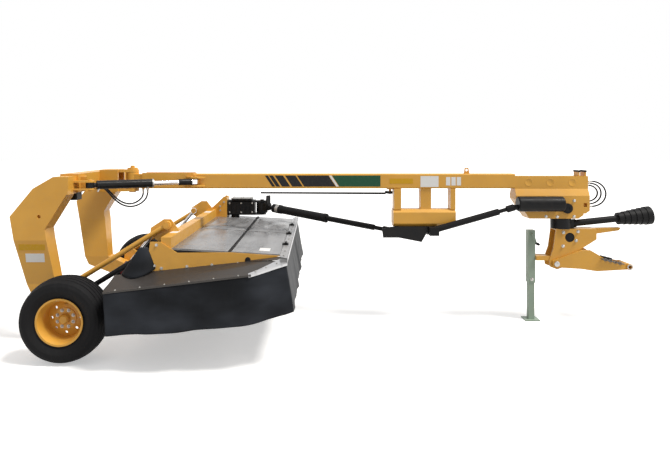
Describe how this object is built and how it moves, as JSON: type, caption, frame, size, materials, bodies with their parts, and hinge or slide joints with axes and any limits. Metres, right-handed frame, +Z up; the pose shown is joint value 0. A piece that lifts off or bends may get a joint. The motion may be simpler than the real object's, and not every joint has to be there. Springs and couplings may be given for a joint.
{
  "type": "trailed disc mower",
  "caption": "Trailed disc mower: a two-wheeled rear frame with an arched beam, a long side-swinging tongue with a swivel hitch, and a curtained cutting header on parallel links.",
  "frame": {"origin": "on the ground, at the middle of the length and of the width", "axes": "+X forward to the hitch, +Y to the left, +Z up"},
  "size_m": [6.891, 3.2, 1.767],
  "materials": {
    "yellow_paint": "satin",
    "black_paint": "satin",
    "tyre": "matte",
    "curtain": "satin",
    "chrome": "polished",
    "steel": "worn",
    "grey_paint": "satin",
    "black_plastic": "matte",
    "hose": "satin"
  },
  "bodies": {
    "frame": {"legs": "yellow_paint", "toe_plates": "yellow_paint", "cross_beam": "yellow_paint", "pivot_nose": "yellow_paint", "swing_anchor": "yellow_paint", "control_box": "black_paint", "pivot_hose_1": "hose", "pivot_hose_2": "hose"},
    "right_wheel": {"tyre_right": "tyre", "wheel_right": "yellow_paint"},
    "left_wheel": {"tyre_left": "tyre", "wheel_left": "yellow_paint"},
    "tongue": {"tongue_beam": "yellow_paint", "mid_bracket": "yellow_paint", "joint_guard": "black_paint", "tongue_head": "yellow_paint", "canister": "black_paint", "front_driveline": "black_plastic", "head_hose_1": "hose", "head_hose_2": "hose", "head_hose_3": "hose"},
    "header": {"header_beam": "yellow_paint", "deck": "curtain", "front_curtain": "curtain", "rear_curtain": "curtain", "side_plates": "yellow_paint", "shelves": "curtain", "end_curtains": "curtain", "corner_flaps": "curtain", "bar_supports": "yellow_paint", "cutter_bar": "steel", "gearbox": "black_paint", "drive_column": "yellow_paint"},
    "hitch": {"hitch_gearbox": "black_paint", "hitch_yoke": "yellow_paint", "jack_tube": "grey_paint", "pto_shield": "black_plastic"},
    "swing_barrel": {"swing_barrel": "black_paint"},
    "swing_rod": {"swing_rod": "chrome"},
    "upper_links": {"upper_links": "yellow_paint"},
    "lower_links": {"lower_links": "yellow_paint"},
    "lift_barrels": {"lift_barrels": "black_paint"},
    "lift_rods": {"lift_rods": "chrome"},
    "gear_swivel": {"gear_swivel": "black_paint"},
    "joint_yoke": {"joint_yoke": "black_paint"},
    "drive_tube": {"drive_tube": "black_plastic"},
    "drive_shaft": {"drive_shaft": "black_plastic"},
    "drive_tip": {"drive_tip": "black_plastic"},
    "rod_clevis": {"rod_clevis": "black_paint"},
    "steering_rod": {"steering_rod": "grey_paint"},
    "drawbar": {"drawbar": "yellow_paint"},
    "jack_leg": {"jack_leg": "grey_paint"},
    "pto_shaft": {"pto_shaft": "steel"},
    "disc_1": {"disc_1": "steel"},
    "disc_2": {"disc_2": "steel"},
    "disc_3": {"disc_3": "steel"},
    "disc_4": {"disc_4": "steel"},
    "disc_5": {"disc_5": "steel"},
    "disc_6": {"disc_6": "steel"},
    "disc_7": {"disc_7": "steel"}
  },
  "joints": [
    {"name": "right_wheel_spin", "type": "hinge", "parent": "frame", "child": "right_wheel", "pos_m": [-2.7225, -1.242, 0.3935], "axis": [0, 1, 0], "continuous": true},
    {"name": "left_wheel_spin", "type": "hinge", "parent": "frame", "child": "left_wheel", "pos_m": [-2.7225, 1.242, 0.3935], "axis": [0, 1, 0], "continuous": true},
    {"name": "tongue_swing", "type": "hinge", "parent": "frame", "child": "tongue", "pos_m": [-2.5075, 0, 1.59], "axis": [0, 0, 1], "range_deg": [0, 26]},
    {"name": "swing_barrel_turn", "type": "hinge", "parent": "frame", "child": "swing_barrel", "pos_m": [-2.7165, -0.7, 1.59], "axis": [0, 0, 1], "range_deg": [0, 13.4]},
    {"name": "swing_rod_slide", "type": "slide", "parent": "swing_barrel", "child": "swing_rod", "axis": [0.8569, 0.5154, 0], "range_m": [0, 0.195]},
    {"name": "header_lift", "type": "hinge", "parent": "frame", "child": "upper_links", "pos_m": [-2.8125, 0, 0.63], "axis": [0, 1, 0], "range_deg": [0, 18.4]},
    {"name": "header_level", "type": "hinge", "parent": "upper_links", "child": "header", "pos_m": [-1.8625, 0, 1.215], "axis": [0, 1, 0], "range_deg": [-18.4, 0]},
    {"name": "lower_link_swing", "type": "hinge", "parent": "frame", "child": "lower_links", "pos_m": [-2.8325, 0, 0.47], "axis": [0, 1, 0], "range_deg": [0, 18.4]},
    {"name": "lift_barrel_swing", "type": "hinge", "parent": "frame", "child": "lift_barrels", "pos_m": [-2.5725, 0, 0.43], "axis": [0, 1, 0], "range_deg": [0, 22.6]},
    {"name": "lift_rod_slide", "type": "slide", "parent": "lift_barrels", "child": "lift_rods", "axis": [0.6273, 0, 0.7788], "range_m": [-0.11, 0]},
    {"name": "gear_swivel_turn", "type": "hinge", "parent": "header", "child": "gear_swivel", "pos_m": [-1.1325, 1.15, 1.18], "axis": [0, 0, 1], "range_deg": [0, 42.5]},
    {"name": "joint_yoke_pitch", "type": "hinge", "parent": "gear_swivel", "child": "joint_yoke", "pos_m": [-1.1325, 1.15, 1.18], "axis": [0.5812, 0.8137, 0], "range_deg": [0, 2.4]},
    {"name": "drive_tube_pitch", "type": "hinge", "parent": "joint_yoke", "child": "drive_tube", "pos_m": [-1.00275, 1.05732, 1.16678], "axis": [0.5812, 0.8137, 0], "range_deg": [-10.4, 0]},
    {"name": "drive_shaft_slide", "type": "slide", "parent": "drive_tube", "child": "drive_shaft", "axis": [0.811, -0.5793, -0.0826], "range_m": [-0.66, 0]},
    {"name": "drive_tip_slide", "type": "slide", "parent": "drive_shaft", "child": "drive_tip", "axis": [0.811, -0.5793, -0.0826], "range_m": [-0.11, 0]},
    {"name": "rod_clevis_turn", "type": "hinge", "parent": "tongue", "child": "rod_clevis", "pos_m": [0.4515, 0, 1.447], "axis": [0, 0, 1], "range_deg": [0, 17.2]},
    {"name": "steering_rod_pitch", "type": "hinge", "parent": "rod_clevis", "child": "steering_rod", "pos_m": [0.4515, 0, 1.447], "axis": [-0.5944, -0.8042, 0], "range_deg": [0, 10.4]},
    {"name": "hitch_swivel", "type": "hinge", "parent": "tongue", "child": "hitch", "pos_m": [2.4135, 0, 1.1], "axis": [0, 0, 1], "range_deg": [-80, 80]},
    {"name": "drawbar_tilt", "type": "hinge", "parent": "hitch", "child": "drawbar", "pos_m": [2.3205, 0, 0.66], "axis": [0, 1, 0], "range_deg": [-15, 15]},
    {"name": "jack_slide", "type": "slide", "parent": "hitch", "child": "jack_leg", "axis": [0, 0, 1], "range_m": [0, 0.38]},
    {"name": "pto_spin", "type": "hinge", "parent": "hitch", "child": "pto_shaft", "pos_m": [2.5395, 0, 1.102], "axis": [0.9945, 0, 0.1045], "continuous": true},
    {"name": "disc_1_spin", "type": "hinge", "parent": "header", "child": "disc_1", "pos_m": [-1.1625, -1.32, 0.42], "axis": [-0.0732, 0, 0.9973], "continuous": true},
    {"name": "disc_2_spin", "type": "hinge", "parent": "header", "child": "disc_2", "pos_m": [-1.1625, -0.88, 0.42], "axis": [-0.0732, 0, 0.9973], "continuous": true},
    {"name": "disc_3_spin", "type": "hinge", "parent": "header", "child": "disc_3", "pos_m": [-1.1625, -0.44, 0.42], "axis": [-0.0732, 0, 0.9973], "continuous": true},
    {"name": "disc_4_spin", "type": "hinge", "parent": "header", "child": "disc_4", "pos_m": [-1.1625, 0, 0.42], "axis": [-0.0732, 0, 0.9973], "continuous": true},
    {"name": "disc_5_spin", "type": "hinge", "parent": "header", "child": "disc_5", "pos_m": [-1.1625, 0.44, 0.42], "axis": [-0.0732, 0, 0.9973], "continuous": true},
    {"name": "disc_6_spin", "type": "hinge", "parent": "header", "child": "disc_6", "pos_m": [-1.1625, 0.88, 0.42], "axis": [-0.0732, 0, 0.9973], "continuous": true},
    {"name": "disc_7_spin", "type": "hinge", "parent": "header", "child": "disc_7", "pos_m": [-1.1625, 1.32, 0.42], "axis": [-0.0732, 0, 0.9973], "continuous": true}
  ],
  "couplings": [
    {"joint": "swing_barrel_turn", "follows": "tongue_swing", "ratio": 0.5112},
    {"joint": "swing_rod_slide", "follows": "tongue_swing", "m_per_rad": 0.4253},
    {"joint": "header_level", "follows": "header_lift", "ratio": -1},
    {"joint": "lower_link_swing", "follows": "header_lift", "ratio": 1},
    {"joint": "lift_barrel_swing", "follows": "header_lift", "ratio": 1.2261},
    {"joint": "lift_rod_slide", "follows": "header_lift", "m_per_rad": -0.3395},
    {"joint": "gear_swivel_turn", "follows": "tongue_swing", "ratio": 1.6327},
    {"joint": "joint_yoke_pitch", "follows": "tongue_swing", "ratio": 0.0908},
    {"joint": "drive_tube_pitch", "follows": "header_lift", "ratio": -0.56},
    {"joint": "drive_shaft_slide", "follows": "tongue_swing", "m_per_rad": -1.449},
    {"joint": "drive_tip_slide", "follows": "header_lift", "m_per_rad": -0.3379},
    {"joint": "rod_clevis_turn", "follows": "tongue_swing", "ratio": 0.6596},
    {"joint": "steering_rod_pitch", "follows": "header_lift", "ratio": 0.558},
    {"joint": "disc_2_spin", "follows": "disc_1_spin", "ratio": -1},
    {"joint": "disc_3_spin", "follows": "disc_1_spin", "ratio": 1},
    {"joint": "disc_4_spin", "follows": "disc_1_spin", "ratio": -1},
    {"joint": "disc_5_spin", "follows": "disc_1_spin", "ratio": 1},
    {"joint": "disc_6_spin", "follows": "disc_1_spin", "ratio": -1},
    {"joint": "disc_7_spin", "follows": "disc_1_spin", "ratio": 1}
  ]
}
